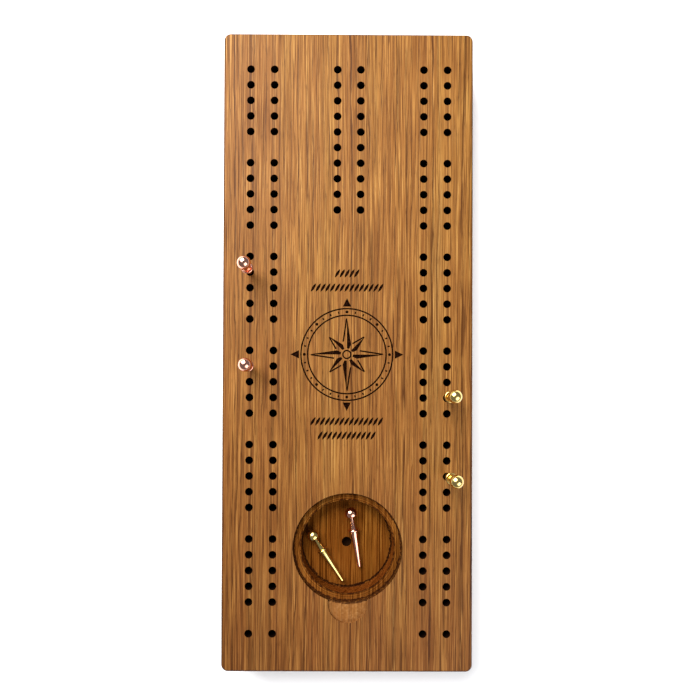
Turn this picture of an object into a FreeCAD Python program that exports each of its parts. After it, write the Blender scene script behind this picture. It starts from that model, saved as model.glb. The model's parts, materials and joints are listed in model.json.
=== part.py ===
import FreeCAD, Part
import math
import os
import Sketcher

# Cribbage board: one oak plank with four tracks of peg holes, two short centre columns of
# peg holes, a round storage pocket with a lid seat and a thumb notch, a shallow engraved
# ornament, and six turned metal pegs. Millimetres, +Z up, +Y along the plank away from the
# pocket. The origin is the middle of the plank's underside.

Vector = FreeCAD.Vector

SIZES = [
    # plank
    ("board_width", 101.6, "across the grain"),
    ("board_length", 259.08, "along the grain"),
    ("board_thickness", 19.05, "one planed plank"),
    ("corner_radius", 2.8, "corners in plan"),
    ("edge_round", 1.2, "sanded arrises"),
    # peg holes
    ("hole_diameter", 3.175, "drill size"),
    ("hole_depth", 9.525, "down to the tip of the drill point"),
    ("drill_point", 118.0, "degrees"),
    ("row_pitch", 6.35, "from row to row"),
    ("first_row", 15.57, "start row, from the pocket end of the plank"),
    ("track_inset", 11.1, "outer left column, from the plank's left edge"),
    ("track_gap", 9.6, "between the two columns of a track"),
    ("right_inset", 10.6, "outer right column, from the plank's right edge"),
    ("group_start", 2, "row of the first group's first hole"),
    ("group_rows", 5, "rows in a group"),
    ("group_step", 6, "rows from group to group"),
    ("group_count", 6, "groups along the plank"),
    ("centre_start", 27, "first row of the centre columns"),
    ("centre_rows", 10, "rows in the centre columns"),
    ("centre_gap", 9.45, "between the centre columns"),
    ("centre_shift", 0.25, "middle of the centre columns, from the plank's middle"),
    # storage pocket
    ("pocket_inset", 50.0, "pocket's middle, from the end of the plank"),
    ("pocket_shift", 0.2, "pocket's middle, from the plank's middle line"),
    ("seat_diameter", 44.45, "lid seat"),
    ("seat_depth", 2.38, "lid seat, below the top"),
    ("pocket_diameter", 38.1, "inner pocket"),
    ("pocket_depth", 9.525, "inner pocket, below the top"),
    ("spur_diameter", 4.1, "mark of the bit's centre, in the pocket floor"),
    ("spur_depth", 3.0, "below the pocket floor"),
    ("scribe_width", 0.5, "groove that the bit's rim leaves round a floor"),
    ("scribe_depth", 0.3, "depth of that groove"),
    ("notch_diameter", 16.0, "thumb notch, centred on the lid seat's rim"),
    ("notch_depth", 1.5, "thumb notch, below the top"),
    # engraved ornament
    ("engraving_depth", 0.25, "every engraved line"),
    ("motif_shift", -0.35, "ornament's middle, from the plank's middle line"),
    ("motif_inset", 128.34, "ornament's middle, from the pocket end of the plank"),
    ("line_width", 0.6, "engraved lines"),
    ("ring_radius", 18.9, "outer edge of the compass rose's ring"),
    ("ring_width", 2.7, "ring, from its outer line to its inner line"),
    ("tick_count", 32, "divisions of the ring"),
    ("long_point", 15.4, "radius to the tips of the four long points"),
    ("short_point", 10.4, "radius to the tips of the four short points"),
    ("shoulder", 4.4, "radius to the notches between the points"),
    ("hub_gap", 2.5, "radius at which the points begin"),
    ("hub_radius", 1.9, "ring at the middle of the rose"),
    ("arrow_tip", 22.9, "radius to the tips of the four outer arrowheads"),
    ("arrow_width", 3.4, "arrowheads, across their base"),
    ("rope_height", 3.5, "rows of rope ornament"),
    ("rope_step", 1.95, "from strand to strand"),
    ("strand_width", 1.1, "a strand, at its widest"),
    # pegs
    ("peg_length", 25.4, "tip to crown"),
    ("tip_diameter", 1.5, "end of the taper"),
    ("tip_round", 0.5, "rounding of the tip"),
    ("taper_diameter", 2.8, "top of the taper"),
    ("taper_length", 13.4, "tip to the barrel"),
    ("barrel_diameter", 3.05, "short barrel under the collar"),
    ("barrel_length", 2.0, "taper to the collar"),
    ("collar_diameter", 4.7, "collar"),
    ("collar_width", 0.75, "collar, along the peg"),
    ("neck_base", 2.7, "neck where it leaves the collar"),
    ("neck_top", 1.25, "neck under the head"),
    ("neck_hollow", 0.12, "how far the neck curves in, half way up"),
    ("head_diameter", 5.3, "ball of the head"),
    ("head_length", 3.7, "ball from its flat underside to its crown"),
    ("seat_gap", 0.1, "peg tip to the cone at the bottom of its hole"),
    ("rest_gap", 0.05, "lying peg to the pocket floor"),
    # where the pegs are
    ("copper_back_row", 23, "row of the hole that holds it"),
    ("copper_front_row", 17, "row of the hole that holds it"),
    ("brass_back_row", 15, "row of the hole that holds it"),
    ("brass_front_row", 10, "row of the hole that holds it"),
    ("copper_spare_chord", -0.19, "its line, off the pocket's middle, in pocket radii"),
    ("copper_spare_slide", 0.64, "how far along that line, from 0 at its tip's end to 1"),
    ("copper_spare_heading", 99.1, "degrees from +X to the way its head points"),
    ("brass_spare_chord", 0.53, "its line, off the pocket's middle, in pocket radii"),
    ("brass_spare_slide", 0.5, "how far along that line, from 0 at its tip's end to 1"),
    ("brass_spare_heading", 122.9, "degrees from +X to the way its head points"),
]

# (label, column, lean as a share of what the play allows, heading of the lean in degrees)
STANDING_PEGS = [
    ("copper_peg_back", "left", 0.33, 150.0),
    ("copper_peg_front", "left", 0.45, -40.0),
    ("brass_peg_back", "right", 0.70, 105.0),
    ("brass_peg_front", "right", 0.53, 36.0),
]
LYING_PEGS = ["copper_peg_spare", "brass_peg_spare"]

# Rope ornament rows: (name, middle of the row from the rose's middle, strands).
ROPE_ROWS = [
    ("rope_top", 32.9, 5),
    ("rope_upper", 27.1, 15),
    ("rope_lower", -27.1, 15),
    ("rope_bottom", -32.8, 12),
]
ROPE_LEAN = 0.55        # half of a strand's slant, in steps
MAIN_POINTS = 8         # points of the rose, long and short by turns
OUTLINE_FROM = 0.10     # where a point's outline begins and ends, as shares of its edge
OUTLINE_TO = 0.93

document = FreeCAD.newDocument("cribbage_board")
sheet = document.addObject("Spreadsheet::Sheet", "sizes")
for row, (alias, number, note) in enumerate(SIZES, start=1):
    sheet.set(f"A{row}", alias)
    sheet.set(f"B{row}", str(number))
    sheet.set(f"C{row}", note)
    sheet.setAlias(f"B{row}", alias)
document.recompute()


def size(alias):
    """One driving size, from the sheet."""
    return float(sheet.get(alias))


def origin_feature(body, role):
    """A body's own origin plane or axis, found by its role."""
    return next(item for item in body.Origin.OriginFeatures if item.Role == role)


def new_body(label):
    """An empty body whose label is the name of its file."""
    body = document.addObject("PartDesign::Body", label)
    body.Label = label
    return body


def new_sketch(body, name, plane="XY_Plane", level=None):
    """A sketch on an origin plane, raised to a level given as an expression."""
    sketch = body.newObject("Sketcher::SketchObject", name)
    sketch.AttachmentSupport = (origin_feature(body, plane), [""])
    sketch.MapMode = "FlatFace"
    if level:
        sketch.setExpression("AttachmentOffset.Base.z", level)
    return sketch


def bind(sketch, expression, kind, *where):
    """A dimension of a sketch, bound to the sheet and drawn at its size from the start."""
    number = float(sketch.evalExpression(expression))
    index = sketch.addConstraint(Sketcher.Constraint(kind, *where, number))
    sketch.setExpression(f"Constraints[{index}]", expression)


def circle(sketch, across, along, diameter):
    """A circle whose centre and diameter are bound to the sheet."""
    centre = Vector(
        float(sketch.evalExpression(across)),
        float(sketch.evalExpression(along)),
        0,
    )
    radius = float(sketch.evalExpression(diameter)) / 2
    index = sketch.addGeometry(Part.Circle(centre, Vector(0, 0, 1), radius), False)
    bind(sketch, diameter, "Diameter", index)
    bind(sketch, across, "DistanceX", -1, 1, index, 3)
    bind(sketch, along, "DistanceY", -1, 1, index, 3)


def polygon(sketch, points):
    """A closed outline of straight lines."""
    for start, end in zip(points, points[1:] + points[:1]):
        sketch.addGeometry(Part.LineSegment(start, end), False)


def bar(sketch, start, end, width_start, width_end):
    """A straight stroke that may taper."""
    side = (end - start).normalize().cross(Vector(0, 0, 1))
    polygon(sketch, [
        start + side * (width_start / 2),
        end + side * (width_end / 2),
        end - side * (width_end / 2),
        start - side * (width_start / 2),
    ])


def lens(sketch, start, end, width):
    """A stroke that swells from a point to its width and back: two arcs."""
    middle = (start + end) / 2
    side = (end - start).normalize().cross(Vector(0, 0, 1)) * (width / 2)
    sketch.addGeometry(Part.Arc(start, middle + side, end), False)
    sketch.addGeometry(Part.Arc(end, middle - side, start), False)


def volume_after(body):
    """The body's volume once everything is worked out again."""
    document.recompute()
    return body.Tip.Shape.Volume


def cut(body, sketch, name, depth):
    """A pocket from the sketch down into the plank, which has to remove material."""
    before = volume_after(body)
    pocket = body.newObject("PartDesign::Pocket", name)
    pocket.Profile = sketch
    pocket.setExpression("Length", depth)
    if volume_after(body) >= before:
        raise ValueError(f"{name} cuts nothing")
    return pocket


def drill(body, sketch, name, diameter, depth):
    """Blind holes with a drill point, whose depth counts down to the point's tip."""
    before = volume_after(body)
    hole = body.newObject("PartDesign::Hole", name)
    hole.Profile = sketch
    document.recompute()
    hole.Threaded = False
    hole.DepthType = "Dimension"
    hole.DrillPoint = "Angled"
    hole.DrillForDepth = True
    hole.setExpression("Diameter", diameter)
    hole.setExpression("Depth", depth)
    hole.setExpression("DrillPointAngle", "sizes.drill_point")
    if volume_after(body) >= before:
        raise ValueError(f"{name} cuts nothing")
    return hole


def repeat(body, feature, name, steps):
    """Repeats a feature by each step in turn: (kind of pattern, role, length, count)."""
    before = volume_after(body)
    group = body.newObject("PartDesign::MultiTransform", name)
    group.Originals = [feature]
    transformations = []
    for number, (kind, role, extent, count) in enumerate(steps, start=1):
        pattern = body.newObject(f"PartDesign::{kind}", f"{name}_{number}")
        if kind == "PolarPattern":
            pattern.Axis = (origin_feature(body, role), [""])
            pattern.setExpression("Angle", extent)
        else:
            pattern.Direction = (origin_feature(body, role), [""])
            pattern.setExpression("Length", extent)
        pattern.setExpression("Occurrences", count)
        transformations.append(pattern)
    group.Transformations = transformations
    body.Tip = group
    if volume_after(body) >= before:
        raise ValueError(f"{name} repeats nothing")


# Places on the plank, as expressions that every sketch shares.
TOP = "sizes.board_thickness"
LEFT_OUTER = "sizes.track_inset - sizes.board_width / 2"
LEFT_INNER = f"{LEFT_OUTER} + sizes.track_gap"
ROW_ZERO = "sizes.first_row - sizes.board_length / 2"
POCKET_X = "sizes.pocket_shift"
POCKET_Y = "sizes.pocket_inset - sizes.board_length / 2"
POCKET_FLOOR = "sizes.board_thickness - sizes.pocket_depth"
TRACK_SHIFT = "sizes.board_width - sizes.track_inset - sizes.right_inset - sizes.track_gap"


def row_place(rows):
    """How far along the plank a row is, as an expression."""
    return f"{ROW_ZERO} + ({rows}) * sizes.row_pitch"


def build_plank(body):
    """The plank: a rectangle with rounded corners and eased edges."""
    sketch = new_sketch(body, "plank_outline")
    corners = [Vector(sx, sy, 0) for sx, sy in ((-1, -1), (1, -1), (1, 1), (-1, 1))]
    half = Vector(size("board_width") / 2, size("board_length") / 2, 0)
    corners = [Vector(c.x * half.x, c.y * half.y, 0) for c in corners]
    polygon(sketch, corners)
    for side in range(4):
        sketch.addConstraint(Sketcher.Constraint("Coincident", side, 2, (side + 1) % 4, 1))
        level = "Horizontal" if side % 2 == 0 else "Vertical"
        sketch.addConstraint(Sketcher.Constraint(level, side))
    sketch.addConstraint(Sketcher.Constraint("Symmetric", 0, 1, 2, 1, -1, 1))
    bind(sketch, "sizes.board_width", "DistanceX", 0, 1, 0, 2)
    bind(sketch, "sizes.board_length", "DistanceY", 1, 1, 1, 2)
    slab = body.newObject("PartDesign::Pad", "plank")
    slab.Profile = sketch
    slab.setExpression("Length", TOP)
    document.recompute()

    upright = [
        f"Edge{number}" for number, edge in enumerate(slab.Shape.Edges, start=1)
        if abs(edge.tangentAt(edge.FirstParameter).z) > 0.5
    ]
    corner = body.newObject("PartDesign::Fillet", "corners")
    corner.Base = (slab, upright)
    corner.setExpression("Radius", "sizes.corner_radius")
    document.recompute()

    level_edges = [
        f"Edge{number}" for number, edge in enumerate(corner.Shape.Edges, start=1)
        if edge.BoundBox.ZLength < size("board_thickness") / 2
    ]
    eased = body.newObject("PartDesign::Fillet", "eased_edges")
    eased.Base = (corner, level_edges)
    eased.setExpression("Radius", "sizes.edge_round")
    document.recompute()


def build_peg_holes(body):
    """Four columns of start holes and groups of five, and the two centre columns."""
    across_plank = ("LinearPattern", "X_Axis", TRACK_SHIFT, "2")

    start = new_sketch(body, "start_hole_centres", level=TOP)
    for column in (LEFT_OUTER, LEFT_INNER):
        circle(start, column, ROW_ZERO, "sizes.hole_diameter")
    first = drill(body, start, "start_holes", "sizes.hole_diameter", "sizes.hole_depth")
    repeat(body, first, "start_hole_pairs", [across_plank])

    group = new_sketch(body, "track_hole_centres", level=TOP)
    for column in (LEFT_OUTER, LEFT_INNER):
        circle(group, column, row_place("sizes.group_start"), "sizes.hole_diameter")
    track = drill(body, group, "track_holes", "sizes.hole_diameter", "sizes.hole_depth")
    group_length = "(sizes.group_rows - 1) * sizes.row_pitch"
    all_groups = "(sizes.group_count - 1) * sizes.group_step * sizes.row_pitch"
    repeat(body, track, "track_hole_groups", [
        ("LinearPattern", "Y_Axis", group_length, "sizes.group_rows"),
        ("LinearPattern", "Y_Axis", all_groups, "sizes.group_count"),
        across_plank,
    ])

    centre = new_sketch(body, "centre_hole_centres", level=TOP)
    for side in ("-", "+"):
        column = f"sizes.centre_shift {side} sizes.centre_gap / 2"
        circle(centre, column, row_place("sizes.centre_start"), "sizes.hole_diameter")
    games = drill(body, centre, "centre_holes", "sizes.hole_diameter", "sizes.hole_depth")
    centre_length = "(sizes.centre_rows - 1) * sizes.row_pitch"
    repeat(body, games, "centre_hole_columns", [
        ("LinearPattern", "Y_Axis", centre_length, "sizes.centre_rows"),
    ])


def build_pocket(body):
    """The storage pocket: lid seat, inner bore, tool marks in its floor, thumb notch."""
    seat = new_sketch(body, "seat_circle", level=TOP)
    circle(seat, POCKET_X, POCKET_Y, "sizes.seat_diameter")
    cut(body, seat, "lid_seat", "sizes.seat_depth")

    bore = new_sketch(body, "pocket_circle", level=TOP)
    circle(bore, POCKET_X, POCKET_Y, "sizes.pocket_diameter")
    cut(body, bore, "storage_pocket", "sizes.pocket_depth")

    spur = new_sketch(body, "spur_circle", level=POCKET_FLOOR)
    circle(spur, POCKET_X, POCKET_Y, "sizes.spur_diameter")
    drill(body, spur, "spur_mark", "sizes.spur_diameter", "sizes.spur_depth")

    scribe = new_sketch(body, "scribe_rings", level=POCKET_FLOOR)
    circle(scribe, POCKET_X, POCKET_Y, "sizes.pocket_diameter")
    circle(scribe, POCKET_X, POCKET_Y, "sizes.pocket_diameter - 2 * sizes.scribe_width")
    cut(body, scribe, "scribe_groove", "sizes.scribe_depth")

    notch = new_sketch(body, "notch_circle", level=TOP)
    circle(notch, POCKET_X, f"{POCKET_Y} - sizes.seat_diameter / 2", "sizes.notch_diameter")
    cut(body, notch, "thumb_notch", "sizes.notch_depth")


def engraving(body, name, draw):
    """A shallow engraved pocket; draw fills the sketch with its strokes."""
    sketch = new_sketch(body, f"{name}_lines", level=TOP)
    draw(sketch)
    return cut(body, sketch, name, "sizes.engraving_depth")


def motif_middle():
    """The middle of the whole ornament, on the plank's top."""
    along = size("motif_inset") - size("board_length") / 2
    return Vector(size("motif_shift"), along, 0)


def around(radius, angle):
    """A point of the rose, from its radius and its angle in degrees."""
    turn = math.radians(angle)
    return motif_middle() + Vector(math.cos(turn), math.sin(turn), 0) * radius


def build_rose(body):
    """A plain compass rose: a divided ring, eight half-shaded points, and four arrowheads."""
    line = size("line_width")
    outer = size("ring_radius")
    inner = outer - size("ring_width")
    step = 360 / MAIN_POINTS
    half_step = step / 2

    def rings(sketch):
        centre = ("sizes.motif_shift", "sizes.motif_inset - sizes.board_length / 2")
        ring_line = "2 * (sizes.ring_radius - sizes.ring_width)"
        for outside in ("2 * sizes.ring_radius", ring_line, "2 * sizes.hub_radius"):
            circle(sketch, *centre, outside)
            circle(sketch, *centre, f"{outside} - 2 * sizes.line_width")

    engraving(body, "rose_rings", rings)

    def points(sketch):
        for number in range(MAIN_POINTS):
            angle = number * step
            reach = size("long_point") if number % 2 == 0 else size("short_point")
            polygon(sketch, [
                around(size("hub_gap"), angle),
                around(reach, angle),
                around(size("shoulder"), angle - half_step),
                around(size("hub_gap"), angle - half_step),
            ])
            notch = around(size("shoulder"), angle + half_step)
            edge = around(reach, angle) - notch
            bar(sketch, notch + edge * OUTLINE_FROM, notch + edge * OUTLINE_TO, line, line)

    engraving(body, "rose_points", points)

    def divisions(sketch):
        count = int(size("tick_count"))
        for number in range(count):
            angle = number * 360 / count
            if number * MAIN_POINTS % count == 0:
                spot = around((outer + inner - line) / 2, angle)
                sketch.addGeometry(Part.Circle(spot, Vector(0, 0, 1), line), False)
            else:
                bar(sketch, around(inner + line, angle), around(outer - 2 * line, angle), line, line)

    engraving(body, "rose_divisions", divisions)

    def arrowheads(sketch):
        base = outer + line
        half_angle = math.degrees(math.atan2(size("arrow_width") / 2, base))
        for number in range(0, MAIN_POINTS, 2):
            angle = number * step
            polygon(sketch, [
                around(base, angle - half_angle),
                around(size("arrow_tip"), angle),
                around(base, angle + half_angle),
            ])

    engraving(body, "rose_arrowheads", arrowheads)


def build_rope_rows(body):
    """Rows of slanting rope strands above and below the rose."""
    half_height = size("rope_height") / 2
    lean = size("rope_step") * ROPE_LEAN
    middle = motif_middle()
    for name, level, strands in ROPE_ROWS:
        first = middle + Vector(-size("rope_step") * (strands - 1) / 2, level, 0)

        def strand(sketch, place=first):
            slant = Vector(lean, half_height, 0)
            lens(sketch, place - slant, place + slant, size("strand_width"))

        feature = engraving(body, name, strand)
        repeat(body, feature, f"{name}_strands", [
            ("LinearPattern", "X_Axis", f"{strands - 1} * sizes.rope_step", str(strands)),
        ])


def build_board():
    """The whole plank, in the order a workshop makes it."""
    body = new_body("board")
    build_plank(body)
    build_peg_holes(body)
    build_pocket(body)
    build_rose(body)
    build_rope_rows(body)
    return body


# Heights along a peg, from its tip, as expressions.
BARREL_START = "sizes.taper_length"
COLLAR_START = f"{BARREL_START} + sizes.barrel_length"
COLLAR_END = f"{COLLAR_START} + sizes.collar_width"
HEAD_START = "sizes.peg_length - sizes.head_length"
# The head is a ball whose underside is cut flat: its widest line, and the flat's radius.
HEAD_WIDEST = "sizes.peg_length - sizes.head_diameter / 2"
HEAD_FLAT = "sqrt((sizes.head_diameter / 2)^2 - (sizes.head_length - sizes.head_diameter / 2)^2)"
COLLAR_MIDDLE = f"{COLLAR_START} + sizes.collar_width / 2"


def build_peg(label):
    """One peg, turned about its own axis, which is the body's Z with the tip at zero."""
    body = new_body(label)
    sketch = new_sketch(body, f"{label}_profile", plane="XZ_Plane")
    # each corner of the half profile: (radius, height along the peg)
    corners = [
        ("0", "0"),
        ("sizes.tip_diameter / 2 - sizes.tip_round", "0"),
        ("sizes.tip_diameter / 2", "sizes.tip_round"),
        ("sizes.taper_diameter / 2", BARREL_START),
        ("sizes.barrel_diameter / 2", BARREL_START),
        ("sizes.barrel_diameter / 2", COLLAR_START),
        ("sizes.collar_diameter / 2 - sizes.collar_width / 2", COLLAR_START),
        ("sizes.collar_diameter / 2 - sizes.collar_width / 2", COLLAR_END),
        ("sizes.neck_base / 2", COLLAR_END),
        ("sizes.neck_top / 2", HEAD_START),
        (HEAD_FLAT, HEAD_START),
        ("0", "sizes.peg_length"),
    ]
    # a point half way along each round stretch, by the stretch's first corner
    tip_bulge = "sizes.tip_round * (1 - sqrt(2) / 2)"
    hollow = "sizes.neck_hollow"
    rounds = {
        1: (f"sizes.tip_diameter / 2 - {tip_bulge}", tip_bulge),
        6: ("sizes.collar_diameter / 2", COLLAR_MIDDLE),
        8: (
            f"(sizes.neck_base + sizes.neck_top) / 4 - {hollow}",
            f"(({COLLAR_END}) + ({HEAD_START})) / 2",
        ),
        10: ("sizes.head_diameter / 2", HEAD_WIDEST),
    }

    def spot(place):
        radius, height = place
        return Vector(float(sketch.evalExpression(radius)), float(sketch.evalExpression(height)), 0)

    for number, corner in enumerate(corners):
        start = spot(corner)
        end = spot(corners[(number + 1) % len(corners)])
        if number in rounds:
            sketch.addGeometry(Part.Arc(start, spot(rounds[number]), end), False)
        else:
            sketch.addGeometry(Part.LineSegment(start, end), False)
    turned = body.newObject("PartDesign::Revolution", f"{label}_turning")
    turned.Profile = sketch
    turned.ReferenceAxis = (origin_feature(body, "Z_Axis"), [""])
    turned.Angle = 360
    document.recompute()
    return body


def place_standing(body, column, row_alias, share, heading):
    """Stands a peg in its hole, its tip just clear of the drill point, leaning by the play.

    The farthest that it can lean about its tip is the play at the mouth of the hole over the
    depth of the tip.
    """
    drill_slope = math.radians(90 - size("drill_point") / 2)
    hole_radius = size("hole_diameter") / 2
    tip_radius = size("tip_diameter") / 2
    tip_flat = tip_radius - size("tip_round")
    point_height = hole_radius * math.tan(drill_slope)
    tip_depth = (
        size("hole_depth") - point_height
        + (hole_radius - tip_flat) * math.tan(drill_slope)
        - size("tip_round") * (1 / math.cos(drill_slope) - 1)
        - size("seat_gap")
    )
    taper = (size("taper_diameter") / 2 - tip_radius) / (size("taper_length") - size("tip_round"))
    mouth_radius = tip_radius + taper * (tip_depth - size("tip_round"))
    lean = share * math.degrees(math.atan2(hole_radius - mouth_radius, tip_depth))
    across = size("track_inset") - size("board_width") / 2
    if column == "right":
        across = size("board_width") / 2 - size("right_inset")
    along = size("first_row") - size("board_length") / 2 + size(row_alias) * size("row_pitch")
    tip = Vector(across, along, size("board_thickness") - tip_depth)
    hinge = Vector(-math.sin(math.radians(heading)), math.cos(math.radians(heading)), 0)
    body.Placement = FreeCAD.Placement(tip, FreeCAD.Rotation(hinge, lean))


def place_lying(body, kind):
    """Lays a peg on the pocket floor, on its head and on whichever touches first, collar or tip.

    Its line is a chord of the pocket, and it may lie anywhere along it between the place
    where its tip meets the wall and the place where its head does.
    """
    head_radius = size("head_diameter") / 2
    head_height = float(sheet.evalExpression(HEAD_WIDEST.replace("sizes.", "")))
    collar_height = float(sheet.evalExpression(COLLAR_MIDDLE.replace("sizes.", "")))
    # (how far the axis rises from there to the head, radius there, height there)
    rise, rest_radius, rest_height = min(
        (math.atan2(head_radius - radius, head_height - height), radius, height)
        for radius, height in (
            (size("collar_diameter") / 2, collar_height),
            (size("tip_diameter") / 2, size("tip_round")),
        )
    )

    pocket_radius = size("pocket_diameter") / 2
    chord = size(f"{kind}_spare_chord") * pocket_radius
    tip_limit = -math.sqrt((pocket_radius - size("tip_diameter") / 2) ** 2 - chord ** 2)
    head_limit = math.sqrt((pocket_radius - head_radius) ** 2 - chord ** 2) - head_height
    slide = tip_limit + size(f"{kind}_spare_slide") * (head_limit - tip_limit)
    heading = math.radians(size(f"{kind}_spare_heading"))
    forward = Vector(math.cos(heading), math.sin(heading), 0)
    sideways = Vector(-math.sin(heading), math.cos(heading), 0)
    height = (
        size("board_thickness") - size("pocket_depth") + size("rest_gap")
        + rest_radius * math.cos(rise) - rest_height * math.sin(rise)
    )
    middle = Vector(size("pocket_shift"), size("pocket_inset") - size("board_length") / 2, height)
    tilt = FreeCAD.Rotation(Vector(0, 1, 0), 90 - math.degrees(rise))
    turn = FreeCAD.Rotation(Vector(0, 0, 1), size(f"{kind}_spare_heading"))
    tip = middle + forward * slide + sideways * chord
    body.Placement = FreeCAD.Placement(tip, turn.multiply(tilt))


board = build_board()
pieces = [board]
for label, column, share, heading in STANDING_PEGS:
    peg = build_peg(label)
    place_standing(peg, column, label.replace("_peg", "") + "_row", share, heading)
    pieces.append(peg)
for label in LYING_PEGS:
    peg = build_peg(label)
    place_lying(peg, label.split("_")[0])
    pieces.append(peg)
document.recompute()

for item in document.Objects:
    if "Invalid" in item.State or "Error" in item.State:
        raise ValueError(f"{item.Label} failed")
os.makedirs("parts", exist_ok=True)
for piece in pieces:
    shape = piece.Shape
    if shape.isNull() or not shape.isValid() or len(shape.Solids) != 1:
        raise ValueError(f"{piece.Label} is not one valid solid")
    shape.exportStep(f"parts/{piece.Label}.step")
    print(piece.Label, "volume", round(shape.Volume, 2), "faces", len(shape.Faces))
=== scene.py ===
import json
import logging
import math
from dataclasses import dataclass, field
from enum import Enum
from typing import Any, Union

import bpy
import numpy as np
from mathutils import Euler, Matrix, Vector


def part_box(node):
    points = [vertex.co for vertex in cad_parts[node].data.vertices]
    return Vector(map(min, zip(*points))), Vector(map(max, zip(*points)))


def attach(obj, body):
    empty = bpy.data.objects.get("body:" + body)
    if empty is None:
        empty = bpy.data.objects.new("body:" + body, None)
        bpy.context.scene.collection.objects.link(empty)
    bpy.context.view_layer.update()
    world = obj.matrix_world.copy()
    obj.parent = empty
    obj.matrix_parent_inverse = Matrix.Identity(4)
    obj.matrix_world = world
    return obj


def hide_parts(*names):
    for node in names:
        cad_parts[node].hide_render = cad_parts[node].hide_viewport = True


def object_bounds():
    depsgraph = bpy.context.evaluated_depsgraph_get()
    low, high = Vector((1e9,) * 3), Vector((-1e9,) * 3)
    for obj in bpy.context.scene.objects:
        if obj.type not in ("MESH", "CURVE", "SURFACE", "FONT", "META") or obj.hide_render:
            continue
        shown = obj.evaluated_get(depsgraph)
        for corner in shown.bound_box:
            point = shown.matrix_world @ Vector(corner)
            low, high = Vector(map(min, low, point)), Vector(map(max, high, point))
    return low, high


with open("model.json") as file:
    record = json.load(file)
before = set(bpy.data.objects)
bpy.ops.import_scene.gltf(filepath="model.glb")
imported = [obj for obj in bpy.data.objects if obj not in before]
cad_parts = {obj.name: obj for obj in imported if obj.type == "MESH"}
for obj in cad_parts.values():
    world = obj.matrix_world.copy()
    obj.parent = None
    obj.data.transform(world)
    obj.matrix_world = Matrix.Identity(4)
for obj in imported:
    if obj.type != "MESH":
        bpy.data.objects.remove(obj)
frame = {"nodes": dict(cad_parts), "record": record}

log = logging.getLogger("cribbage_board")

MM = 0.001
CAD_BOX = [list(corner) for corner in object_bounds()]
Socket = Union[bpy.types.Node, bpy.types.NodeSocket, float, int, tuple]
MATHS = "ShaderNodeMath"
VECTOR_MATHS = "ShaderNodeVectorMath"
NOISE = "ShaderNodeTexNoise"
MAP_RANGE = "ShaderNodeMapRange"
MIX = "ShaderNodeMix"


def linear(hex_colour: str) -> tuple[float, float, float, float]:
    """Turns an sRGB hex colour into the linear RGBA that a shader takes.

    Args:
        hex_colour: six hex digits, with or without a leading #.

    Returns:
        Red, green, blue and an alpha of one, in linear light.
    """
    digits = hex_colour.lstrip("#")
    channels = [int(digits[i:i + 2], 16) / 255 for i in (0, 2, 4)]
    light = [c / 12.92 if c <= 0.04045 else ((c + 0.055) / 1.055) ** 2.4 for c in channels]
    return (*light, 1.0)


@dataclass
class Recipe:
    """A material and its node tree, with one way of adding a node."""

    name: str
    material: bpy.types.Material = field(init=False)

    def __post_init__(self) -> None:
        """Makes the material with an empty node tree."""
        self.material = bpy.data.materials.new(self.name)
        self.material.use_nodes = True
        self.material.node_tree.nodes.clear()

    def add(self, kind: str, inputs: dict[Any, Socket] | None = None, **settings: Any) -> bpy.types.Node:
        """Adds one node, with its settings and its links.

        Args:
            kind: the node's type name.
            inputs: what goes into each input, by its name or place: another node, whose first
                output is meant, a socket, or a plain value.
            **settings: the node's own properties.

        Returns:
            The new node.
        """
        tree = self.material.node_tree
        node = tree.nodes.new(kind)
        for name, value in settings.items():
            setattr(node, name, value)
        for place, value in (inputs or {}).items():
            if isinstance(value, bpy.types.Node):
                value = value.outputs[0]
            if isinstance(value, bpy.types.NodeSocket):
                tree.links.new(value, node.inputs[place])
            else:
                node.inputs[place].default_value = value
        return node

    def ramp(self, source: Socket, stops: list[tuple[float, str]]) -> bpy.types.Node:
        """Turns a value into a colour along a row of stops.

        Args:
            source: the value, from 0 to 1.
            stops: each stop's place and its sRGB hex colour.

        Returns:
            The colour ramp's node.
        """
        node = self.add("ShaderNodeValToRGB", {"Fac": source})
        elements = node.color_ramp.elements
        while len(elements) < len(stops):
            elements.new(1.0)
        for element, (place, colour) in zip(elements, stops):
            element.position = place
            element.color = linear(colour)
        return node

    def finish(self, shader: bpy.types.Node) -> bpy.types.Material:
        """Sends the shader to the material's output.

        Args:
            shader: the node whose first output is the surface.

        Returns:
            The finished material.
        """
        self.add("ShaderNodeOutputMaterial", {"Surface": shader})
        return self.material


@dataclass(frozen=True)
class WorkedPlaces:
    """Where the plank is worked: each mask is one in its place and nought elsewhere.

    The depth is the distance below the top, and away is the level distance from the pocket's
    middle. Below is anywhere under the top, and sunk is the part of it inside the sides.
    """

    depth: Socket
    away: Socket
    below: Socket
    arris_shade: Socket
    sunk: Socket
    pocket: Socket
    notch: Socket
    motif: Socket
    plain: Socket


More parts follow.
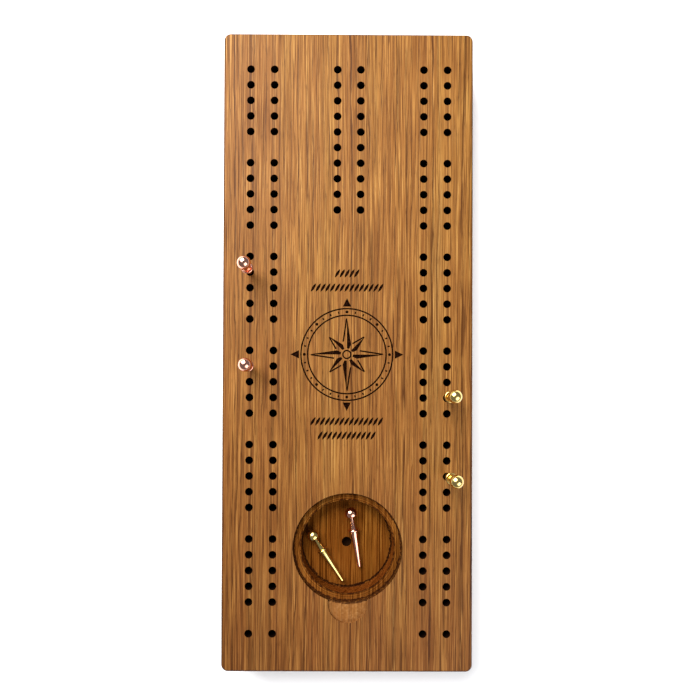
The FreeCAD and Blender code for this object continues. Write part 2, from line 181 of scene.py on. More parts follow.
@dataclass(frozen=True)
class OiledOak:
    """Planed red oak under a thin coat of oil: straight grain, open pores, satin.

    The board is sawn on the rift, so its growth rings cut the face as nearly straight lines a
    few millimetres apart. Each ring begins with open spring wood, a thin dark line broken
    into dashes along the grain. Bored and burnt surfaces are darker, and the drilled holes,
    the bit's mark, the eased edges and the pocket's creases carry painted shade.

    A pair of lengths is how wide and how long a pattern's grains are. A rate is how many
    changes a pattern has in one ring, and a share is a pattern's part in the whole. The skin
    is the depth at which the top turns into a cut. The slack takes a wall into its bore's mask.
    """

    top: float
    half_size: tuple[float, float]
    pocket: tuple[float, float]
    seat_radius: float
    pocket_radius: float
    pocket_depth: float
    seat_depth: float
    notch_radius: float
    motif_low: tuple[float, float]
    motif_high: tuple[float, float]
    ring_spacing: float = 2.2 * MM
    pith: tuple[float, float] = (-260 * MM, -160 * MM)
    sway: tuple[float, float] = (30 * MM, 170 * MM)
    sway_reach: float = 3.2 * MM
    waver: tuple[float, float] = (4 * MM, 22 * MM)
    waver_reach: float = 1.6 * MM
    streak: tuple[float, float] = (0.9 * MM, 60 * MM)
    fibre: tuple[float, float] = (0.28 * MM, 28 * MM)
    dash: tuple[float, float] = (0.8 * MM, 24 * MM)
    pore: tuple[float, float] = (0.34 * MM, 5 * MM)
    band: tuple[float, float] = (11 * MM, 190 * MM)
    drift_rate: float = 0.45
    drift_rings: float = 3.4
    fine_rate: float = 2.6
    late_share: float = 0.30
    fine_share: float = 0.55
    fibre_share: float = 1.9
    streak_share: float = 0.45
    tone_lift: float = 0.35
    spring_share: float = 0.8
    hair_share: float = 0.7
    pore_share: float = 0.4
    falloff_start: float = 0.25
    falloff_left: float = -0.1
    falloff_least: float = 0.55
    grain_relief: float = 0.06 * MM
    grain_strength: float = 0.5
    tool_relief: float = 0.25 * MM
    tool_strength: float = 0.8
    roughness: tuple[float, float] = (0.60, 0.44)
    gloss: float = 0.12
    scoop_share: float = 0.5
    margin: float = 2 * MM
    skin: tuple[float, float] = (0.03 * MM, 0.12 * MM)
    arris_depth: float = 1.4 * MM
    slack: float = 0.05 * MM
    spur_radius: float = 2.2 * MM
    spur_start: float = 0.4 * MM
    spur_end: float = 4 * MM
    rub: float = 0.9 * MM
    tool_mark: float = 0.45 * MM
    wall_half: float = 0.04 * MM
    ledge_start: float = 0.02 * MM
    tear: float = 2.4 * MM
    tear_reach: float = 1.1 * MM

    def build(self) -> bpy.types.Material:
        """Makes the material.

        Returns:
            The oak material, which reads the board's own coordinates.
        """
        recipe = Recipe("oiled_red_oak")
        place = recipe.add("ShaderNodeTexCoord").outputs["Object"]
        tone, lines = self._grain(recipe, place)
        wood = recipe.ramp(tone, [
            (0.08, "#523414"), (0.30, "#714A20"), (0.50, "#865D2E"),
            (0.70, "#99713C"), (0.92, "#AE8850"),
        ]).outputs[0]
        wood = self._lay(recipe, wood, linear("#50300E"), lines)
        # painted shade: the wood darker toward the pocket's end and its left corner, where the light
        # falls off
        wood = self._lay(recipe, wood, self._bands(recipe, place), 1.0, "MULTIPLY")
        wood = self._lay(recipe, wood, self._painted_falloff(recipe, place), 1.0, "MULTIPLY")
        colour, height, sunk = self._worked(recipe, place, wood)
        relief = recipe.add(MATHS, {0: lines, 1: -1.0, 2: tone}, operation="MULTIPLY_ADD")
        bump = recipe.add("ShaderNodeBump", {
            "Strength": self.grain_strength, "Distance": self.grain_relief, "Height": relief,
        })
        bump = recipe.add("ShaderNodeBump", {
            "Strength": self.tool_strength, "Distance": self.tool_relief, "Height": height,
            "Normal": bump,
        })
        rough = recipe.add(MAP_RANGE, {
            "Value": tone, "To Min": self.roughness[0], "To Max": self.roughness[1],
        })
        gloss = recipe.add(MAP_RANGE, {"Value": sunk, "To Min": self.gloss, "To Max": 0.0})
        shader = recipe.add("ShaderNodeBsdfPrincipled", {
            "Base Color": colour, "Roughness": rough, "Normal": bump, "Specular IOR Level": gloss,
        })
        return recipe.finish(shader)

    @staticmethod
    def _stretched(recipe: Recipe, place: Socket, size: tuple[float, float],
                   detail: float = 2.0) -> Socket:
        """A noise whose grains are as wide and as long as given, along the plank's fibres.

        Args:
            recipe: the material being made.
            place: the board's own coordinates.
            size: how wide and how long the grains are.
            detail: how many finer noises are added.

        Returns:
            The noise, from 0 to 1.
        """
        scaled = recipe.add("ShaderNodeMapping", {
            "Vector": place, "Scale": (1 / size[0], 1 / size[1], 1 / size[0]),
        })
        return recipe.add(NOISE, {"Vector": scaled, "Scale": 1.0, "Detail": detail}).outputs[0]

    @staticmethod
    def _lay(recipe: Recipe, under: Socket, over: Socket, mask: Socket, blend: str = "MIX") -> Socket:
        """Lays one colour on another through a mask.

        Args:
            recipe: the material being made.
            under: the colour so far.
            over: the colour that goes on it.
            mask: how much of it shows.
            blend: how the two are mixed.

        Returns:
            The mixed colour.
        """
        mixed = recipe.add(MIX, {0: mask, 6: under, 7: over}, data_type="RGBA", blend_type=blend)
        return mixed.outputs[2]

    @staticmethod
    def _times(recipe: Recipe, *factors: Socket) -> Socket:
        """Multiplies masks.

        Args:
            recipe: the material being made.
            *factors: two or more masks or numbers.

        Returns:
            Their product.
        """
        product, *rest = factors
        for factor in rest:
            product = recipe.add(MATHS, {0: product, 1: factor}, operation="MULTIPLY")
        return product

    def _grain(self, recipe: Recipe, place: Socket) -> tuple[Socket, Socket]:
        """Works out the wood's tone and the dark lines of its spring wood.

        The distance from the pith, swayed by a long noise and divided by the ring spacing, is
        the ring's number; its fraction is the place within the ring.

        Args:
            recipe: the material being made.
            place: the board's own coordinates.

        Returns:
            The tone from 0 to 1, and how much of a dark line each point is.
        """
        sway = recipe.add(MAP_RANGE, {
            "Value": self._stretched(recipe, place, self.sway),
            "To Min": -self.sway_reach, "To Max": self.sway_reach,
        })
        across = recipe.add(VECTOR_MATHS, {
            0: place, 1: (1.0, 0.0, 1.0), 2: (-self.pith[0], 0.0, -self.pith[1]),
        }, operation="MULTIPLY_ADD")
        radius = recipe.add(VECTOR_MATHS, {0: across}, operation="LENGTH").outputs["Value"]
        radius = recipe.add(MATHS, {0: radius, 1: sway}, operation="ADD")
        waver = self._stretched(recipe, place, self.waver)
        radius = recipe.add(MATHS, {0: waver, 1: self.waver_reach, 2: radius}, operation="MULTIPLY_ADD")
        per_ring = recipe.add(MATHS, {0: radius, 1: 1 / self.ring_spacing}, operation="MULTIPLY")
        uneven = recipe.add(NOISE, {"W": per_ring, "Scale": self.drift_rate, "Detail": 1.0},
                            noise_dimensions="1D")
        rings = recipe.add(MATHS, {0: uneven, 1: self.drift_rings, 2: per_ring}, operation="MULTIPLY_ADD")
        ring = recipe.add(MATHS, {0: rings}, operation="FRACT")
        fine = recipe.add(NOISE, {"W": per_ring, "Scale": self.fine_rate, "Detail": 2.0},
                          noise_dimensions="1D")

        late = recipe.add(MAP_RANGE, {"Value": ring, "From Min": 0.2, "From Max": 1.0,
                                      "To Min": 0.62, "To Max": 0.38})
        tone = recipe.add(MATHS, {0: late, 1: self.late_share}, operation="MULTIPLY")
        shares = (
            (fine, self.fine_share),
            (self._stretched(recipe, place, self.fibre), self.fibre_share),
            (self._stretched(recipe, place, self.streak, 3.0), self.streak_share),
        )
        for pattern, share in shares:
            tone = recipe.add(MATHS, {0: pattern, 1: share, 2: tone}, operation="MULTIPLY_ADD")
        middle = sum(share for _, share in shares) / 2 - self.tone_lift
        tone = recipe.add(MATHS, {0: tone, 1: middle}, operation="SUBTRACT")

        spring = recipe.add(MAP_RANGE, {"Value": ring, "From Min": 0.24, "From Max": 0.12})
        dashes = recipe.add(MAP_RANGE, {
            "Value": self._stretched(recipe, place, self.dash), "From Min": 0.36, "From Max": 0.56,
        })
        pores = recipe.add(MAP_RANGE, {
            "Value": self._stretched(recipe, place, self.pore, 1.0), "From Min": 0.60, "From Max": 0.72,
        })
        hairs = recipe.add(MAP_RANGE, {"Value": fine, "From Min": 0.55, "From Max": 0.60})
        lines = self._times(recipe, spring, dashes, self.spring_share)
        hairs = self._times(recipe, hairs, dashes)
        for pattern, share in ((hairs, self.hair_share), (pores, self.pore_share)):
            lines = recipe.add(MATHS, {0: pattern, 1: share, 2: lines}, operation="MULTIPLY_ADD",
                               use_clamp=True)
        return tone.outputs[0], lines.outputs[0]

    def _bands(self, recipe: Recipe, place: Socket) -> Socket:
        """Works out broad uneven bands along the plank, some pinker and some yellower.

        Args:
            recipe: the material being made.
            place: the board's own coordinates.

        Returns:
            The colour that the wood is multiplied by.
        """
        broad = self._stretched(recipe, place, self.band)
        return recipe.ramp(broad, [
            (0.32, "#EEDAC2"), (0.46, "#FAEAD3"), (0.56, "#FFF4D8"), (0.7, "#FFFBF0"),
        ]).outputs[0]

    def _painted_falloff(self, recipe: Recipe, place: Socket) -> Socket:
        """Works out painted shade: the wood darker toward the pocket's end, its left corner most, where
        the light falls off.

        Args:
            recipe: the material being made.
            place: the board's own coordinates.

        Returns:
            The colour that the wood is multiplied by.
        """
        x, y, _ = recipe.add("ShaderNodeSeparateXYZ", {0: place}).outputs
        toward = recipe.add(MAP_RANGE, {
            "Value": y, "From Min": self.falloff_start * self.half_size[1], "From Max": -self.half_size[1],
        })
        leftward = recipe.add(MAP_RANGE, {
            "Value": x, "From Min": self.falloff_left * self.half_size[0], "From Max": -self.half_size[0],
            "To Min": self.falloff_least, "To Max": 1.0,
        })
        return recipe.ramp(self._times(recipe, toward, leftward), [
            (0.0, "#FFFFFF"), (0.55, "#E5D9DA"), (1.0, "#CCBEC0"),
        ]).outputs[0]

    @staticmethod
    def _within(recipe: Recipe, value: Socket, low: float, high: float) -> Socket:
        """Makes a mask of a range.

        Args:
            recipe: the material being made.
            value: the value to look at.
            low: the range's lower end.
            high: the range's upper end.

        Returns:
            One where the value lies in the range, and nought elsewhere.
        """
        return recipe.add(MATHS, {0: value, 1: (low + high) / 2, 2: (high - low) / 2},
                          operation="COMPARE")

    @staticmethod
    def _without(recipe: Recipe, mask: Socket) -> Socket:
        """Turns a mask round.

        Args:
            recipe: the material being made.
            mask: the mask.

        Returns:
            One where the mask is nought, and nought where it is one or more.
        """
        return recipe.add(MATHS, {0: 1.0, 1: mask}, operation="SUBTRACT", use_clamp=True)

    @staticmethod
    def _from_point(recipe: Recipe, place: Socket, centre: tuple[float, float]) -> Socket:
        """Measures how far each place is from a point, seen from above.

        Args:
            recipe: the material being made.
            place: the board's own coordinates.
            centre: the point's x and y.

        Returns:
            The level distance.
        """
        offset = recipe.add(VECTOR_MATHS, {
            0: place, 1: (1.0, 1.0, 0.0), 2: (-centre[0], -centre[1], 0.0),
        }, operation="MULTIPLY_ADD")
        return recipe.add(VECTOR_MATHS, {0: offset}, operation="LENGTH").outputs["Value"]

    def _places(self, recipe: Recipe, place: Socket) -> WorkedPlaces:
        """Tells the worked places apart, by their depth and by where they are.

        Args:
            recipe: the material being made.
            place: the board's own coordinates.

        Returns:
            The masks of the worked places.
        """
        x, y, z = recipe.add("ShaderNodeSeparateXYZ", {0: place}).outputs
        depth = recipe.add(MATHS, {0: self.top, 1: z}, operation="SUBTRACT")
        below = recipe.add(MAP_RANGE, {
            "Value": depth, "From Min": self.skin[0], "From Max": self.skin[1],
        })
        half_width, half_length = (half - self.margin for half in self.half_size)
        inside = self._times(
            recipe, self._within(recipe, x, -half_width, half_width),
            self._within(recipe, y, -half_length, half_length),
        )
        reached = self._within(recipe, depth, 0.0, self.pocket_depth + self.spur_end)
        eased = self._within(recipe, depth, 0.0, self.arris_depth)
        away = self._from_point(recipe, place, self.pocket)
        rim = (self.pocket[0], self.pocket[1] - self.seat_radius)
        from_rim = self._from_point(recipe, place, rim)
        pocket = self._within(recipe, away, 0.0, self.seat_radius + self.slack)
        notch = self._times(
            recipe, self._within(recipe, from_rim, 0.0, self.notch_radius + self.slack),
            self._without(recipe, pocket),
        )
        motif = self._times(
            recipe, self._within(recipe, x, self.motif_low[0], self.motif_high[0]),
            self._within(recipe, y, self.motif_low[1], self.motif_high[1]),
        )
        named = recipe.add(MATHS, {0: pocket, 1: notch}, operation="ADD")
        named = recipe.add(MATHS, {0: named, 1: motif}, operation="ADD")
        return WorkedPlaces(
            depth=depth, away=away, below=below,
            arris_shade=self._times(recipe, below, self._without(recipe, inside), eased),
            sunk=self._times(recipe, below, inside, reached),
            pocket=pocket, notch=notch, motif=motif, plain=self._without(recipe, named),
        )

    def _worked(self, recipe: Recipe, place: Socket, wood: Socket) -> tuple[Socket, Socket, Socket]:
        """Darkens what was burnt or bored, and paints shade on the eased edges, in the drilled holes and
        the bit's mark, and in the pocket's creases.

        Args:
            recipe: the material being made.
            place: the board's own coordinates.
            wood: the plain wood's colour.

        Returns:
            The colour with all of it laid on, the height of the cutter's marks, and where the
            surface lies below the top.
        """
        places = self._places(recipe, place)
        rubbed = recipe.add(NOISE, {"Vector": place, "Scale": 1 / self.rub, "Detail": 3.0})
        colour = self._cut(recipe, places, rubbed, wood)
        colour, height = self._bored(recipe, places, colour)
        colour = self._torn_edges_and_crease_shade(recipe, place, places, rubbed, colour)
        return colour, height, places.sunk

    def _cut(self, recipe: Recipe, places: WorkedPlaces, rubbed: Socket, colour: Socket) -> Socket:
        """Paints shade on the eased edges and in the drilled holes, and colours the burnt lines and the
        thumb notch.

        Args:
            recipe: the material being made.
            places: the masks of the worked places.
            rubbed: a fine noise that makes a finish uneven.
            colour: the plain wood's colour.

        Returns:
            The colour with these laid on.
        """
        # eased edges: painted shade, darker where the rounded edges turn away from the light
        colour = self._lay(recipe, colour, linear("#B8A482"), places.arris_shade, "MULTIPLY")
        # drilled holes: painted shade, the walls near black where little light reaches down them
        holes = self._times(recipe, places.sunk, places.plain)
        colour = self._lay(recipe, colour, linear("#150A06"), holes)
        # burnt lines: charcoal brown, a little uneven
        char = recipe.ramp(rubbed, [(0.38, "#0C0402"), (0.58, "#190A05"), (0.72, "#2A140A")])
        burnt = self._times(recipe, places.sunk, places.motif)
        colour = self._lay(recipe, colour, char.outputs[0], burnt)
        # thumb notch: cut across the fibres, redder and smoother, with the grain half showing
        notch = recipe.ramp(rubbed, [(0.3, "#7A4C26"), (0.55, "#8E6036"), (0.75, "#AA7C4E")])
        scooped = self._times(recipe, places.sunk, places.notch, self.scoop_share)
        return self._lay(recipe, colour, notch.outputs[0], scooped)

    def _bored(self, recipe: Recipe, places: WorkedPlaces, colour: Socket) -> tuple[Socket, Socket]:
        """Colours the pocket: the ledge with its cutter's rings, the floor and the wall, with painted
        shade in the mark of the bit's centre.

        Args:
            recipe: the material being made.
            places: the masks of the worked places.
            colour: the colour so far.

        Returns:
            The colour with the pocket laid on, and the height of the cutter's rings.
        """
        marks = recipe.add(MATHS, {0: places.away, 1: 1 / self.tool_mark}, operation="MULTIPLY")
        marks = recipe.add(NOISE, {"W": marks, "Scale": 1.0, "Detail": 2.0}, noise_dimensions="1D")
        bored = self._times(recipe, places.sunk, places.pocket)
        ledge = self._times(recipe, bored, self._within(
            recipe, places.away, self.pocket_radius + self.ledge_start, self.seat_radius))
        floor = self._times(recipe, bored, self._within(
            recipe, places.away, 0.0, self.pocket_radius - self.slack))
        spun = recipe.ramp(marks, [(0.36, "#AE987C"), (0.52, "#F0E0C6"), (0.66, "#FFFCEC")])
        colour = self._lay(recipe, colour, spun.outputs[0], ledge, "MULTIPLY")
        colour = self._lay(recipe, colour, linear("#E4D2AC"), floor, "MULTIPLY")
        # the mark of the bit's centre: a small hole, painted near black as shade
        spur_shade = self._times(
            recipe, floor, self._within(recipe, places.away, 0.0, self.spur_radius),
            self._within(recipe, places.depth, self.pocket_depth + self.spur_start,
                         self.pocket_depth + self.spur_end),
        )
        colour = self._lay(recipe, colour, linear("#1A0D06"), spur_shade)
        # the wall is end grain by turns
        wall = self._times(
            recipe, self._within(recipe, places.away, self.pocket_radius - self.wall_half,
                                 self.pocket_radius + self.wall_half),
            self._within(recipe, places.depth, self.seat_depth, self.pocket_depth),
        )
        colour = self._lay(recipe, colour, linear("#D8B898"), wall, "MULTIPLY")
        return colour, self._times(recipe, marks, ledge)

    def _torn_edges_and_crease_shade(self, recipe: Recipe, place: Socket, places: WorkedPlaces, rubbed: Socket,
              colour: Socket) -> Socket:
        """Darkens the pocket's edges in ragged strokes: partly ripped and burnished fibres, partly
        painted shade in the creases at its steps and its floor.

        Args:
            recipe: the material being made.
            place: the board's own coordinates.
            places: the masks of the worked places.
            rubbed: a fine noise that breaks the strokes.
            colour: the colour so far.

        Returns:
            The colour with the edges laid on.
        """
        tear_and_shade_mask = recipe.add(MAP_RANGE, {"Value": rubbed, "From Min": 0.30, "From Max": 0.50})
        ragged = recipe.add(NOISE, {"Vector": place, "Scale": 1 / self.tear, "Detail": 2.0})
        ragged = recipe.add(MAP_RANGE, {
            "Value": ragged, "To Min": -self.tear_reach, "To Max": self.tear_reach,
        })
        ragged = recipe.add(MATHS, {0: places.away, 1: ragged}, operation="ADD")
        # each edge: its radius, half its width, its depth, how far it spreads in depth, strength
        edges = (
            (self.pocket_radius, 0.34 * MM, self.seat_depth, 0.5 * MM, 0.9),
            (self.pocket_radius - 0.3 * MM, 0.45 * MM, self.pocket_depth, 0.6 * MM, 0.95),
            (self.seat_radius, 0.8 * MM, 0.0, self.seat_depth + 0.3 * MM, 0.85),
        )
        for radius, half_width, level, reach, strength in edges:
            ring = self._within(recipe, ragged, radius - half_width, radius + half_width)
            near = self._within(recipe, places.depth, level - reach, level + reach)
            mask = self._times(recipe, places.below, ring, near, tear_and_shade_mask, strength)
            # dark strokes: ripped fibres in part, and painted shade in the pocket's creases in part
            colour = self._lay(recipe, colour, linear("#2A1208"), mask)
        return colour


@dataclass(frozen=True)
class PolishedPlate:
    """A turned and polished metal peg: bright, with the finest rings of turning.

    Wear makes it a little smoother and rougher by turns, as shares of its roughness.
    """

    name: str
    colour: str
    shade: str
    roughness: float
    ring_pitch: float = 0.35 * MM
    wear: float = 2.2 * MM
    smoothest: float = 0.7
    roughest: float = 1.6
    relief: float = 0.01 * MM
    relief_strength: float = 0.08

    def build(self) -> bpy.types.Material:
        """Makes the material, whose UV map counts millimetres along the peg.

        Returns:
            The metal material.
        """
        recipe = Recipe(self.name)
        uv = recipe.add("ShaderNodeUVMap", uv_map="turning")
        along = recipe.add("ShaderNodeSeparateXYZ", {0: uv}).outputs[1]
        rings = recipe.add(MATHS, {0: along, 1: MM / self.ring_pitch}, operation="MULTIPLY")
        rings = recipe.add(NOISE, {"W": rings, "Scale": 1.0, "Detail": 2.0}, noise_dimensions="1D")
        place = recipe.add("ShaderNodeTexCoord").outputs["Object"]
        worn = recipe.add(NOISE, {"Vector": place, "Scale": 1 / self.wear, "Detail": 3.0})
        tint = recipe.add(MIX, {0: worn, 6: linear(self.colour), 7: linear(self.shade)}, data_type="RGBA")
        rough = recipe.add(MAP_RANGE, {
            "Value": worn, "To Min": self.roughness * self.smoothest,
            "To Max": self.roughness * self.roughest,
        })
        bump = recipe.add("ShaderNodeBump", {
            "Strength": self.relief_strength, "Distance": self.relief, "Height": rings,
        })
        shader = recipe.add("ShaderNodeBsdfPrincipled", {
            "Base Color": tint.outputs[2], "Metallic": 1.0, "Roughness": rough, "Normal": bump,
        })
        return recipe.finish(shader)


class PegMetal(Enum):
    """The two plated finishes of the pegs."""

    COPPER = PolishedPlate("polished_copper_plate", "#F4BDA4", "#E49C80", 0.11)
    BRASS = PolishedPlate("polished_brass", "#F2D78C", "#DFBE66", 0.16)


@dataclass(frozen=True)
class PaleFloor:
    """A plain pale matt table top, which is only a stage."""

    colour: str = "#FCFCFC"
    roughness: float = 0.9
    gloss: float = 0.1

    def build(self) -> bpy.types.Material:
        """Makes the material.

        Returns:
            The matt white material.
        """
        recipe = Recipe("pale_matt_paint")
        shader = recipe.add("ShaderNodeBsdfPrincipled", {
            "Base Color": linear(self.colour), "Roughness": self.roughness,
            "Specular IOR Level": self.gloss,
        })
        return recipe.finish(shader)


@dataclass
class Board:
    """The oak plank, whose shape is all in its CAD node."""

    node: str = "board"
    notch_radius: float = 8.0 * MM
    motif_low: tuple[float, float] = (-24.0 * MM, -37.5 * MM)
    motif_high: tuple[float, float] = (23.5 * MM, 35.0 * MM)
    pocket_depth: float = 9.525 * MM
    pocket_radius: float = 19.05 * MM

    def dress(self) -> bpy.types.Object:
        """Gives the plank its oak.

        Returns:
            The plank's object.
        """
        low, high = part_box(self.node)
        seat = next(m for m in frame["record"]["mounts"] if m["name"] == "lid_seat")
        finish = OiledOak(
            top=high.z,
            half_size=(high.x, high.y),
            pocket=(seat["pos_m"][0], seat["pos_m"][1]),
            seat_radius=seat["dims"]["r_mm"] * MM,
            pocket_radius=self.pocket_radius,
            pocket_depth=self.pocket_depth,
            seat_depth=seat["dims"]["length_mm"] * MM,
            notch_radius=self.notch_radius,
            motif_low=self.motif_low,
            motif_high=self.motif_high,
        )
        plank = frame["nodes"][self.node]
        plank.data.materials.clear()
        plank.data.materials.append(finish.build())
        return plank


@dataclass
class Peg:
    """One turned peg: a surface turned about the axis of the CAD peg that it replaces.

    Lengths are in millimetres, along the peg from its tip. The edge is the radius of its small
    quarter circles, the head's ball begins head_turn radians past its flat underside, and the
    steps are those of a quarter circle.
    """

    node: str
    metal: PegMetal
    tip_radius: float = 0.75
    tip_round: float = 0.5
    taper_radius: float = 1.4
    taper_end: float = 13.4
    barrel_radius: float = 1.525
    barrel_end: float = 15.4
    collar_radius: float = 2.35
    collar_width: float = 0.75
    neck_base: float = 1.35
    neck_top: float = 0.625
    neck_hollow: float = 0.12
    head_radius: float = 2.65
    head_length: float = 3.7
    edge: float = 0.1
    head_turn: float = 0.06
    hairline: float = 0.001
    sharp_angle: float = 32.0
    steps: int = 8
    around: int = 72

    def axis(self) -> tuple[np.ndarray, np.ndarray, float]:
        """Finds the CAD peg's axis from its points.

        Returns:
            The tip's place, the unit direction from tip to head, and the length, in metres.
        """
        mesh = frame["nodes"][self.node].data
        points = np.empty(len(mesh.vertices) * 3)
        mesh.vertices.foreach_get("co", points)
        points = points.reshape(-1, 3)
        middle = points.mean(axis=0)
        direction = np.linalg.svd(points - middle, full_matrices=False)[2][0]
        along = (points - middle) @ direction
        off_axis = np.linalg.norm(points - middle - np.outer(along, direction), axis=1)
        if along[np.argmax(off_axis)] < 0:
            direction = -direction
            along = -along
        return middle + direction * along.min(), direction, float(np.ptp(along))

    def profile(self, length: float) -> np.ndarray:
        """Works out the half outline, from the middle of the tip to the crown.

        The tip is a quarter circle. The taper and the barrel are straight, with a quarter
        circle where the barrel meets the taper. The collar's rim is a half circle. The neck
        is a parabola between its two radii. The head is a ball cut flat underneath, with a
        narrow slope round the flat.

        Args:
            length: from tip to crown, in millimetres.

        Returns:
            Rows of (radius, height), in millimetres.
        """
        quarter = np.linspace(0, np.pi / 2, self.steps)
        flat = self.tip_radius - self.tip_round
        tip = np.c_[flat + self.tip_round * np.sin(quarter), self.tip_round * (1 - np.cos(quarter))]
        shoulder = np.c_[
            self.barrel_radius - self.edge * (1 - np.sin(quarter)),
            self.taper_end + self.edge * (1 - np.cos(quarter)),
        ]
        half = np.linspace(-np.pi / 2, np.pi / 2, 2 * self.steps)
        half_width = self.collar_width / 2
        collar = np.c_[
            self.collar_radius - half_width + half_width * np.cos(half),
            self.barrel_end + half_width + half_width * np.sin(half),
        ]
        share = np.linspace(0, 1, 3 * self.steps)
        neck_low = self.barrel_end + self.collar_width
        neck_high = length - self.head_length
        neck = np.c_[
            self.neck_base + (self.neck_top - self.neck_base) * share
            - self.neck_hollow * 4 * share * (1 - share),
            neck_low + (neck_high - neck_low) * share,
        ]
        centre = length - self.head_radius
        start = -math.asin((self.head_length - self.head_radius) / self.head_radius)
        turn = np.linspace(start + self.head_turn, np.pi / 2, 5 * self.steps)
        ball = np.c_[self.head_radius * np.cos(turn), centre + self.head_radius * np.sin(turn)]
        under = self.head_radius * math.cos(start) - self.edge
        return np.vstack([
            [[0.0, 0.0]], tip,
            [[self.taper_radius, self.taper_end]], shoulder,
            [[self.barrel_radius, self.barrel_end - self.hairline]],
            collar, neck,
            [[under, neck_high]], ball[:-1], [[0.0, length]],
        ])

    def build(self) -> bpy.types.Object:
        """Turns the profile about the peg's axis, and lays the UV map on it.

        Point (i, j) is the profile's row i turned through j steps of a full circle. The two
        ends are single points, closed with triangles.

        Returns:
            The new peg, which rides on the CAD peg's body.
        """
        tip, direction, length = self.axis()
        outline = self.profile(length / MM)
        turn = np.arange(self.around) * 2 * np.pi / self.around
        upright = abs(direction[2]) > 0.5
        side = np.cross(direction, (0.0, 1.0, 0.0) if upright else (0.0, 0.0, 1.0))
        side /= np.linalg.norm(side)
        other = np.cross(direction, side)
        spokes = np.outer(np.cos(turn), side) + np.outer(np.sin(turn), other)
        rows = outline[1:-1]
        rings = rows[:, None, :1] * spokes[None] + rows[:, None, 1:] * direction
        points = np.vstack([[np.zeros(3)], rings.reshape(-1, 3), [direction * outline[-1, 1]]]) * MM + tip

        ring = np.arange(self.around)
        after = (ring + 1) % self.around
        first = 1 + np.arange(len(rows) - 1)[:, None] * self.around
        quads = np.stack([first + ring, first + after, first + after + self.around,
                          first + ring + self.around], axis=-1).reshape(-1, 4)
        last = len(points) - 1
        top_ring = 1 + (len(rows) - 1) * self.around
        tip_fan = np.c_[np.zeros(self.around, int), 1 + after, 1 + ring]
        crown_fan = np.c_[top_ring + ring, top_ring + after, np.full(self.around, last)]
        faces = quads.tolist() + tip_fan.tolist() + crown_fan.tolist()

        mesh = bpy.data.meshes.new(f"{self.node}_turned")
        mesh.from_pydata(points.tolist(), [], faces)
        corners = np.empty(len(mesh.loops), dtype=np.int32)
        mesh.loops.foreach_get("vertex_index", corners)
        heights = np.concatenate([[0.0], np.repeat(rows[:, 1], self.around), [outline[-1, 1]]])
        share = np.concatenate([[0.5], np.tile(ring / self.around, len(rows)), [0.5]])
        layer = mesh.uv_layers.new(name="turning")
        layer.data.foreach_set("uv", np.c_[share[corners], heights[corners]].ravel())
        mesh.shade_smooth()
        mesh.set_sharp_from_angle(angle=math.radians(self.sharp_angle))
        mesh.materials.append(bpy.data.materials.get(self.metal.value.name) or self.metal.value.build())
        peg = bpy.data.objects.new(f"{self.node}_turned", mesh)
        bpy.context.scene.collection.objects.link(peg)
        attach(peg, self.node)
        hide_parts(self.node)
        return peg


@dataclass(frozen=True)
class SoftBox:
    """A square soft box that faces the middle of the board's underside."""

    name: str
    place: tuple[float, float, float]
    width: float
    power: float

    def hang(self) -> None:
        """Hangs the box in its place."""
        lamp = bpy.data.lights.new(self.name, "AREA")
        lamp.shape = "SQUARE"
        lamp.size = self.width
        lamp.energy = self.power
        box = bpy.data.objects.new(self.name, lamp)
        box.location = self.place
        box.rotation_euler = (-Vector(self.place)).to_track_quat("-Z", "Y").to_euler()
        bpy.context.scene.collection.objects.link(box)


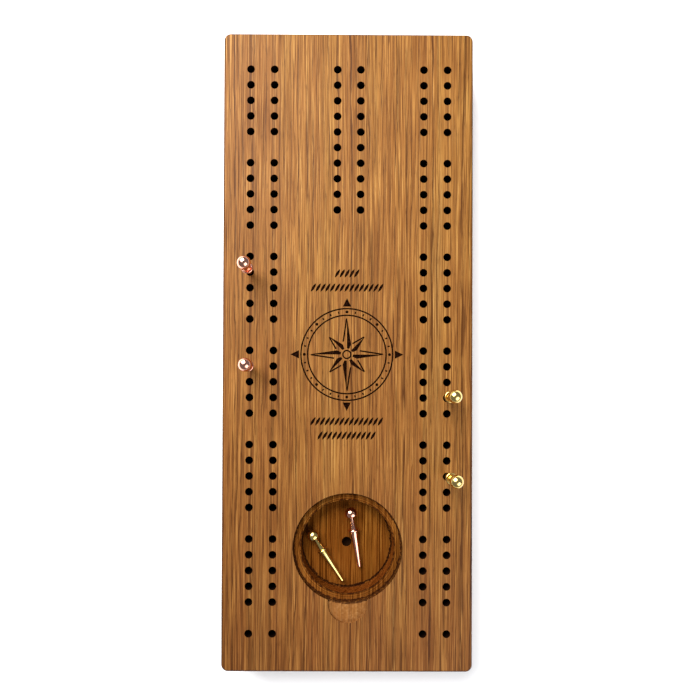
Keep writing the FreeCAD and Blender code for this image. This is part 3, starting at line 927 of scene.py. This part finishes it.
@dataclass
class Studio:
    """The stage: a pale floor, soft light from the far left and near right, and the camera.

    The camera's height is above the board's top, and its turn is in degrees.
    """

    camera_place: tuple[float, float] = (-8.36 * MM, -17.65 * MM)
    camera_height: float = 203 * MM
    camera_turn: tuple[float, float, float] = (0.396, -0.157, 0.2215)
    lens: float = 25.8
    shift: tuple[float, float] = (0.0310, 0.0594)
    sensor_width: float = 36.0
    nearest: float = 10 * MM
    floor_size: float = 6.0
    room_colour: str = "#F3F5FF"
    room_strength: float = 0.23
    boxes: tuple[SoftBox, ...] = (
        SoftBox("window", (-0.26, 0.36, 0.44), 0.50, 10.0),
        SoftBox("reflector", (0.45, -0.45, 0.60), 0.7, 5.2),
    )

    def lay_floor(self) -> bpy.types.Object:
        """Lays the floor under the board.

        Returns:
            The floor, which is staged.
        """
        half = self.floor_size / 2
        level = CAD_BOX[0][2]
        mesh = bpy.data.meshes.new("floor")
        corners = [(-half, -half, level), (half, -half, level), (half, half, level), (-half, half, level)]
        mesh.from_pydata(corners, [], [(0, 1, 2, 3)])
        mesh.materials.append(PaleFloor().build())
        floor = bpy.data.objects.new("floor", mesh)
        bpy.context.scene.collection.objects.link(floor)
        return floor

    def light(self) -> None:
        """Hangs the soft boxes and sets the room's even light."""
        for box in self.boxes:
            box.hang()
        world = bpy.data.worlds.new("studio")
        world.use_nodes = True
        background = world.node_tree.nodes["Background"]
        background.inputs["Color"].default_value = linear(self.room_colour)
        background.inputs["Strength"].default_value = self.room_strength
        bpy.context.scene.world = world
        bpy.context.scene.view_settings.view_transform = "Standard"

    def place_camera(self) -> bpy.types.Object:
        """Puts the camera over the board, looking almost straight down.

        Returns:
            The camera.
        """
        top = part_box("board")[1].z
        data = bpy.data.cameras.new("camera")
        data.lens = self.lens
        data.sensor_width = self.sensor_width
        data.shift_x, data.shift_y = self.shift
        data.clip_start = self.nearest
        camera = bpy.data.objects.new("camera", data)
        camera.location = (*self.camera_place, top + self.camera_height)
        camera.rotation_euler = Euler([math.radians(turn) for turn in self.camera_turn])
        bpy.context.scene.collection.objects.link(camera)
        bpy.context.scene.camera = camera
        return camera


def main() -> None:
    """Dresses the board, turns the pegs, and sets the stage."""
    logging.basicConfig(level=logging.INFO, format="%(name)s: %(message)s")
    studio = Studio()
    studio.place_camera()
    studio.lay_floor()
    studio.light()
    plank = Board().dress()
    log.info("%s dressed", plank.name)
    for node in sorted(frame["nodes"]):
        if "_peg_" in node:
            peg = Peg(node, PegMetal[node.split("_")[0].upper()]).build()
            log.info("%s turned, %d faces", peg.name, len(peg.data.polygons))


if __name__ == "__main__":
    main()
